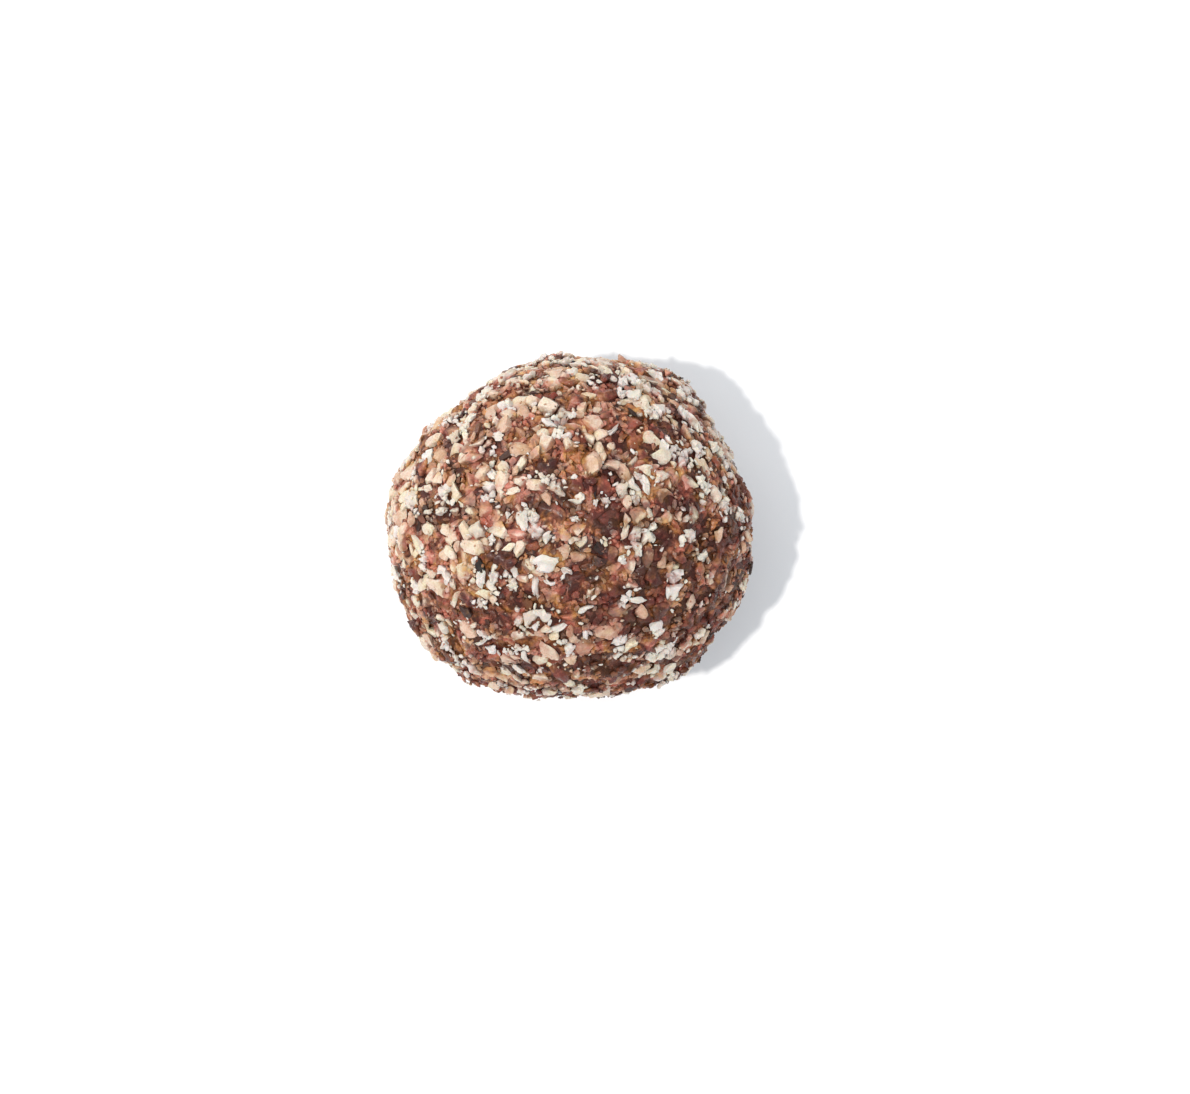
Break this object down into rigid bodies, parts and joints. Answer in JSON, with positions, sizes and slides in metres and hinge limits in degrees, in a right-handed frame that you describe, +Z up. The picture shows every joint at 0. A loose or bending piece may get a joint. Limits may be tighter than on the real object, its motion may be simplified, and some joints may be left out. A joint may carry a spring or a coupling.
{
  "type": "energy ball",
  "caption": "Small hand-rolled date and nut energy ball, lumpy and slightly flattened underneath, with chopped nuts, date bits and coconut flakes all over its surface.",
  "frame": {"origin": "on the floor under the middle of the ball's box, at the small flat spot that it rests on", "axes": "+Z up, +X along the ball's widest side, +Y along its other side"},
  "size_m": [0.04, 0.0376, 0.0356],
  "materials": {
    "date_and_nut_paste": "moist, slightly sticky date and nut paste, satin with small glints"
  },
  "bodies": {
    "root": {"energy_ball": "date_and_nut_paste"}
  },
  "joints": []
}
